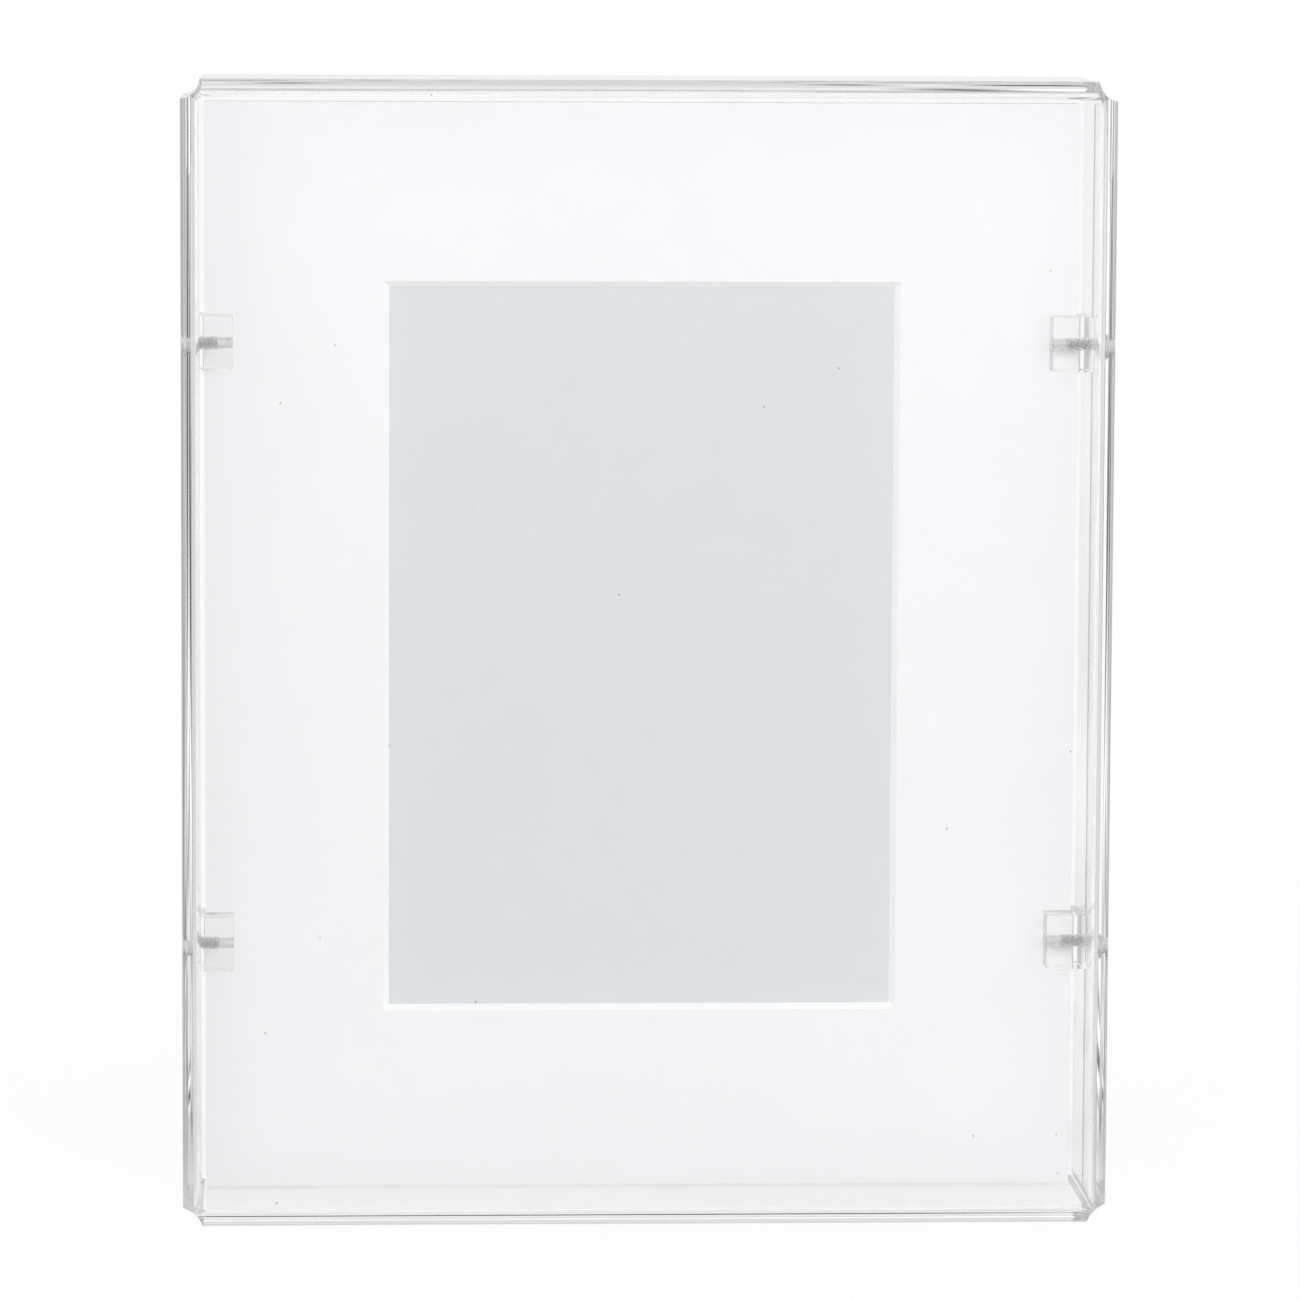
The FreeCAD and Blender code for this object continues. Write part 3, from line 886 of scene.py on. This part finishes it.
class BOXFRAME_OT_hangers(bpy.types.Operator):
    """Makes the two sawtooth hangers and their brads"""

    bl_idname = "boxframe.hangers"
    bl_label = "Hangers"

    def execute(self, context):
        plated = steel(
            "plated steel", context.scene.box_hardware.plated_colour, (500.0, 500.0, 4000.0), 0.3, 0.5)
        for node, turn in (("hanger_portrait", 0.0), ("hanger_landscape", pi / 2)):
            low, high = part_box(node)
            place = Matrix.Translation(((low[0] + high[0]) / 2, low[1], (low[2] + high[2]) / 2))
            strip = make_piece(node + "_strip", self.strip())
            strip.modifiers.clear()
            soften(strip, 0.12)
            settle(strip)
            shade(strip, 30.0)
            move_mesh(strip, place @ Matrix.Rotation(turn, 4, "Y"))
            paint(strip, plated)
            seat(strip, FRAME_BODY, "plated_steel", node)
        self.make_brads(plated)
        return {"FINISHED"}

    def strip(self):
        """A strip whose middle stands off the board: its height over the board is a smooth step of
        the distance from the middle. Its lower edge is a saw of isosceles notches."""
        length, height, thick, rise = 46.0, 9.0, 0.7, 1.6
        foot, ramp, pitch, depth, teeth = 8.0, 3.0, 3.0, 1.8, 8
        knots = np.concatenate([
            np.linspace(-length / 2, -pitch * teeth / 2, 30)[:-1],
            np.arange(-teeth, teeth + 1) * pitch / 2,
            np.linspace(pitch * teeth / 2, length / 2, 30)[1:],
        ])
        distance = np.abs(knots)
        lift = rise * (1 - ease(distance, length / 2 - foot - ramp, length / 2 - foot))
        from_middle = np.arange(len(knots)) - (len(knots) - 1) // 2
        notch = np.where(distance < pitch * teeth / 2 - 0.1, (from_middle + teeth) % 2, 0)
        low = -height / 2 + depth * notch
        levels = np.stack([low, 0 * low - height / 2 + depth, 0 * low + height / 2])
        made = [
            np.stack([np.repeat(knots[None], 3, 0), np.repeat(face[None], 3, 0), levels], -1)
            for face in (lift, lift + thick)
        ]
        under, over = made
        for edge in (0, 2):
            made.append(np.stack([under[edge], over[edge]]))
        for end in (0, -1):
            made.append(np.stack([under[:, end], over[:, end]]))
        return made

    def make_brads(self, plated):
        """Four domed brads. Each is a surface of revolution about Y, moved to its hole."""
        along = np.array([-2.6, -2.0, 0.7, 0.72, 0.85, 1.0, 1.12, 1.19, 1.2])
        radius = np.array([0, 0.6, 0.6, 1.3, 1.4, 1.33, 1.0, 0.5, 0])
        grid, closed = turned(along, radius, 32)
        grid = np.stack([grid[..., 1], grid[..., 0], grid[..., 2]], -1)
        board = node_box("backing_board")[1][1]
        portrait, landscape = node_box("hanger_portrait"), node_box("hanger_landscape")
        level = (portrait[0][2] + portrait[1][2]) / 2
        shift = (landscape[0][0] + landscape[1][0]) / 2
        inset = 4.0
        places = [
            (portrait[0][0] + inset, level), (portrait[1][0] - inset, level),
            (shift, landscape[0][2] + inset), (shift, landscape[1][2] - inset),
        ]
        surfaces = [(grid + np.array([x, board, z]), closed) for x, z in places]
        brads = make_piece("hanger_brads_domed", surfaces)
        paint(brads, plated)
        seat(brads, FRAME_BODY, "plated_steel", "hanger_brads")


# The stage


class BOXFRAME_OT_stage(bpy.types.Operator):
    """Sets up the pale floor, the soft light and the camera"""

    bl_idname = "boxframe.stage"
    bl_label = "Stage"

    def execute(self, context):
        scene = context.scene
        scene.view_settings.view_transform = "Standard"
        for limit in ("max_bounces", "glossy_bounces", "transmission_bounces"):
            setattr(scene.cycles, limit, 20)
        self.make_floor()
        self.make_world(scene)
        self.make_lamps(scene)
        self.make_camera(scene)
        return {"FINISHED"}

    def make_floor(self):
        """A wide pale floor. Far from the frame it is shown in the backdrop's white."""
        size, low = 6000.0, COVER_LOW[2] - 0.05
        near, far = [[-size, -size, low], [size, -size, low]], [[-size, size, low], [size, size, low]]
        floor = make_piece("studio_floor", [np.array([near, far])])
        material, tree, shader, out = start_material("pale floor")
        feed(tree, shader, Base_Color=(0.9, 0.9, 0.9, 1.0), Roughness=0.9, Specular_IOR_Level=0.1)
        place = new_node(tree, "TexCoord").outputs["Object"]
        reach = new_node(tree, "VectorMath", place, operation="LENGTH").outputs["Value"]
        share = smooth_step(tree, reach, 0.15, 0.7, To_Min=0.9)
        self.add_seen(tree, shader.outputs[0], out, place, share)
        paint(floor, material)

    def seen_colour(self, tree, place):
        """What glass and metal show of the studio: white before and behind the frame, and grey at
        its sides. The grey grows with the share of a direction that lies along X. Mirroring inside
        the sheet takes part of the light, and shows the dark gaps between the lamps.
        Near the frame, where directions crowd together, the floor stays white."""
        white, side_grey = (0.955, 0.96, 0.965, 1.0), (0.72, 0.72, 0.73, 1.0)
        direction = new_node(tree, "VectorMath", place, operation="NORMALIZE").outputs[0]
        reach = new_node(tree, "VectorMath", place, operation="LENGTH").outputs["Value"]
        sideways = maths(tree, "ABSOLUTE", new_node(tree, "SeparateXYZ", direction).outputs["X"])
        side, far = smooth_step(tree, sideways, 0.62, 0.9), smooth_step(tree, reach, 0.11, 0.17)
        room = mix_colours(tree, maths(tree, "MULTIPLY", side, far), white, side_grey)
        mirrored = new_node(tree, "LightPath").outputs["Glossy Depth"]
        often = maths(tree, "MULTIPLY", maths(tree, "GREATER_THAN", mirrored, 1.5), far)
        gaps = new_node(tree, "ValToRGB", sideways)
        self.fill_ramp(gaps.color_ramp)
        striped = mix_colours(tree, often, room, gaps.outputs["Color"], "MULTIPLY")
        kept = new_node(tree, "MapRange", mirrored, From_Max=6.0, To_Min=1.0, To_Max=0.58).outputs[0]
        return new_node(tree, "VectorMath", striped, operation="SCALE", Scale=kept).outputs[0]

    def fill_ramp(self, ramp):
        """The studio's lights and the dark gaps between them, by the direction's share along X."""
        stops = (
            (0.0, 1.2), (0.16, 1.3), (0.2, 0.2), (0.235, 1.7), (0.265, 1.7), (0.3, 0.15), (0.345, 0.15),
            (0.375, 1.6), (0.42, 1.2), (0.475, 0.6), (0.53, 1.1), (0.66, 0.8), (0.72, 0.3), (0.8, 0.9),
        )
        for place, tone in stops:
            stop = ramp.elements.new(place)
            stop.color = (tone, tone, tone, 1.0)
        ramp.elements.remove(ramp.elements[0])
        ramp.elements[-1].color = (0.9, 0.9, 0.9, 1.0)

    def add_seen(self, tree, shaded, out, place, share):
        """Mixes the shaded floor with what the camera, glass and metal see in its place."""
        path = new_node(tree, "LightPath").outputs
        through = maths(tree, "MAXIMUM", path["Is Glossy Ray"], path["Is Transmission Ray"])
        seen = maths(tree, "MAXIMUM", through, path["Is Camera Ray"])
        colour = mix_colours(tree, path["Is Camera Ray"], self.seen_colour(tree, place), PURE_WHITE)
        flat = new_node(tree, "Emission", colour, 1.0)
        part = maths(tree, "MULTIPLY", seen, share)
        feed(tree, out, Surface=new_node(tree, "MixShader", part, shaded, flat.outputs[0]).outputs[0])

    def make_world(self, scene):
        """White to the camera, the seen studio to glass and metal, and an even light to all else."""
        world = bpy.data.worlds.new("soft studio")
        world.use_nodes = True
        scene.world = world
        tree = world.node_tree
        tree.nodes.clear()
        soft = new_node(tree, "Background", PURE_WHITE, scene.box_studio.world_strength)
        place = new_node(tree, "TexCoord").outputs["Generated"]
        studio = new_node(tree, "Background", self.seen_colour(tree, place))
        plain = new_node(tree, "Background", PURE_WHITE, 1.0)
        path = new_node(tree, "LightPath").outputs
        through = maths(tree, "MAXIMUM", path["Is Glossy Ray"], path["Is Transmission Ray"])
        seen = maths(tree, "MULTIPLY", through, maths(tree, "LESS_THAN", path["Diffuse Depth"], 0.5))
        either = new_node(tree, "MixShader", seen, soft.outputs[0], studio.outputs[0])
        shown = new_node(tree, "MixShader", path["Is Camera Ray"], either.outputs[0], plain.outputs[0])
        feed(tree, new_node(tree, "OutputWorld"), shown.outputs[0])

    def make_lamps(self, scene):
        """Three square lamps, turned to the frame's middle. Glass and metal don't show the fills."""
        aim = Vector((0.0, 0.0, 0.13))
        lamps = (
            ("key softbox", (-0.9, -1.3, 1.3), 1.2, scene.box_studio.key_power * 6),
            ("front fill", (0.75, -1.45, 0.6), 0.6, scene.box_studio.key_power * 9),
            ("back fill", (-0.5, 1.6, 0.8), 0.8, scene.box_studio.key_power * 3),
        )
        for name, place, size, power in lamps:
            light = bpy.data.lights.new(name, "AREA")
            light.shape = "SQUARE"
            light.size = size
            light.energy = power
            lamp = bpy.data.objects.new(name, light)
            lamp.location = place
            lamp.visible_glossy = lamp.visible_transmission = "fill" not in name
            lamp.rotation_mode = "QUATERNION"
            lamp.rotation_quaternion = (aim - Vector(place)).to_track_quat("-Z", "Y")
            scene.collection.objects.link(lamp)

    def make_camera(self, scene):
        """Looks from a little above the frame and to its left, from far off through a long lens."""
        azimuth, elevation, roll, distance = radians(2.86), radians(6.2), radians(0.27), 1.552
        aim = Vector((0.00022, COVER_LOW[1] * MM, 0.1336))
        ahead = Vector((sin(azimuth) * cos(elevation), cos(azimuth) * cos(elevation), -sin(elevation)))
        data = bpy.data.cameras.new("camera")
        data.lens = scene.box_studio.lens
        data.sensor_width = 36.0
        data.clip_start, data.clip_end = 0.05, 30.0
        camera = bpy.data.objects.new("camera", data)
        camera.rotation_mode = "QUATERNION"
        camera.location = aim - ahead * distance
        camera.rotation_quaternion = ahead.to_track_quat("-Z", "Y") @ Quaternion((0, 0, 1), roll)
        scene.collection.objects.link(camera)
        scene.camera = camera


STEPS = (
    BOXFRAME_OT_cover, BOXFRAME_OT_clips, BOXFRAME_OT_screws, BOXFRAME_OT_mat, BOXFRAME_OT_picture,
    BOXFRAME_OT_backing, BOXFRAME_OT_hangers, BOXFRAME_OT_stage,
)


class BOXFRAME_PT_panel(bpy.types.Panel):
    """Lists the settings, and the steps in the order in which they are run"""

    bl_idname = "BOXFRAME_PT_panel"
    bl_label = "Box frame"
    bl_space_type = "VIEW_3D"
    bl_region_type = "UI"
    bl_category = "Box frame"

    def draw(self, context):
        for name, settings in SCENE_SETTINGS.items():
            for key in settings.__annotations__:
                self.layout.prop(getattr(context.scene, name), key)
        for step in STEPS:
            self.layout.operator(step.bl_idname)


def register():
    for name, settings in SCENE_SETTINGS.items():
        bpy.utils.register_class(settings)
        setattr(bpy.types.Scene, name, bpy.props.PointerProperty(type=settings))
    for step in (*STEPS, BOXFRAME_PT_panel):
        bpy.utils.register_class(step)


def unregister():
    for step in reversed((*STEPS, BOXFRAME_PT_panel)):
        bpy.utils.unregister_class(step)
    for name, settings in SCENE_SETTINGS.items():
        delattr(bpy.types.Scene, name)
        bpy.utils.unregister_class(settings)


def main():
    """Builds every piece and the stage."""
    register()
    for step in STEPS:
        group, name = step.bl_idname.split(".")
        getattr(getattr(bpy.ops, group), name)()


if __name__ == "__main__":
    main()
